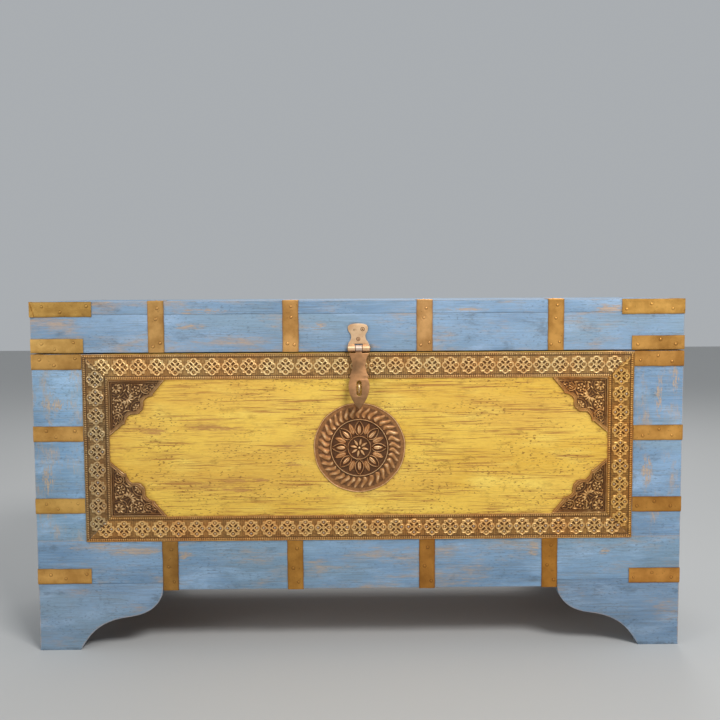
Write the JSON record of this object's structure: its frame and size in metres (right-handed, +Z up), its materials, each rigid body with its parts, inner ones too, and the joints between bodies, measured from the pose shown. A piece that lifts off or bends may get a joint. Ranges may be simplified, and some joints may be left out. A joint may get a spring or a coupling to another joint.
{
  "type": "wooden storage chest",
  "caption": "Painted wooden chest on bracket feet, with a hinged box lid, brass straps, an embossed brass border and medallion, and a hasp and staple.",
  "frame": {"origin": "on the floor, under the middle of the whole closed chest with its hasp and hinges", "axes": "+X along the chest, to the right as seen from its front; +Y from its front to its back; +Z up"},
  "size_m": [1.102, 0.4172, 0.599],
  "materials": {
    "blue_painted_wood": "worn matt blue paint over wood, rubbed through to orange-brown wood",
    "yellow_painted_wood": "worn satin yellow paint over wood, streaked brown along the grain",
    "bare_wood": "unpainted, dry",
    "strap_brass": "aged brass sheet, hand cut, dented",
    "embossed_brass": "embossed antique brass sheet, dark in its recesses",
    "embossed_copper": "embossed coppery brass sheet, dark in its recesses",
    "hasp_brass": "cast brass, rubbed bright",
    "pin_steel": "worn steel"
  },
  "bodies": {
    "chest": {"back_panel": "blue_painted_wood", "border_bottom": "embossed_brass", "border_left": "embossed_brass", "border_right": "embossed_brass", "border_top": "embossed_brass", "floor_board": "bare_wood", "foot_back_left": "blue_painted_wood", "foot_back_right": "blue_painted_wood", "foot_front_left": "blue_painted_wood", "foot_front_right": "blue_painted_wood", "foot_side_back_left": "blue_painted_wood", "foot_side_back_right": "blue_painted_wood", "foot_side_front_left": "blue_painted_wood", "foot_side_front_right": "blue_painted_wood", "front_board": "yellow_painted_wood", "front_bottom_rail": "blue_painted_wood", "front_end_left": "blue_painted_wood", "front_end_right": "blue_painted_wood", "hinge_left_case_leaf": "strap_brass", "hinge_left_pin": "pin_steel", "hinge_right_case_leaf": "strap_brass", "hinge_right_pin": "pin_steel", "medallion": "embossed_copper", "side_panel_left": "blue_painted_wood", "side_panel_right": "blue_painted_wood", "skirt_strap_1": "strap_brass", "skirt_strap_2": "strap_brass", "skirt_strap_3": "strap_brass", "skirt_strap_4": "strap_brass", "spandrel_bottom_left": "embossed_copper", "spandrel_bottom_right": "embossed_copper", "spandrel_top_left": "embossed_copper", "spandrel_top_right": "embossed_copper", "staple": "hasp_brass", "strip_left_case_foot": "strap_brass", "strip_left_case_lower": "strap_brass", "strip_left_case_top": "strap_brass", "strip_left_case_upper": "strap_brass", "strip_right_case_foot": "strap_brass", "strip_right_case_lower": "strap_brass", "strip_right_case_top": "strap_brass", "strip_right_case_upper": "strap_brass"},
    "lid": {"hasp_pin": "pin_steel", "hasp_plate": "hasp_brass", "hinge_left_lid_leaf": "strap_brass", "hinge_right_lid_leaf": "strap_brass", "lid_back_rail": "blue_painted_wood", "lid_front_rail": "blue_painted_wood", "lid_side_rail_left": "blue_painted_wood", "lid_side_rail_right": "blue_painted_wood", "lid_strap_1": "strap_brass", "lid_strap_2": "strap_brass", "lid_strap_3": "strap_brass", "lid_strap_4": "strap_brass", "lid_top_board": "blue_painted_wood", "strip_left_lid_bottom": "strap_brass", "strip_left_lid_top": "strap_brass", "strip_right_lid_bottom": "strap_brass", "strip_right_lid_top": "strap_brass"},
    "hasp": {"hasp_strap": "hasp_brass"}
  },
  "joints": [
    {"name": "lid_hinge", "type": "hinge", "parent": "chest", "child": "lid", "pos_m": [0, 0.20405, 0.511], "axis": [-1, 0, 0], "range_deg": [0, 100]},
    {"name": "hasp_hinge", "type": "hinge", "parent": "lid", "child": "hasp", "pos_m": [0, -0.1865, 0.5175], "axis": [-1, 0, 0], "range_deg": [-12.5, 165]}
  ]
}
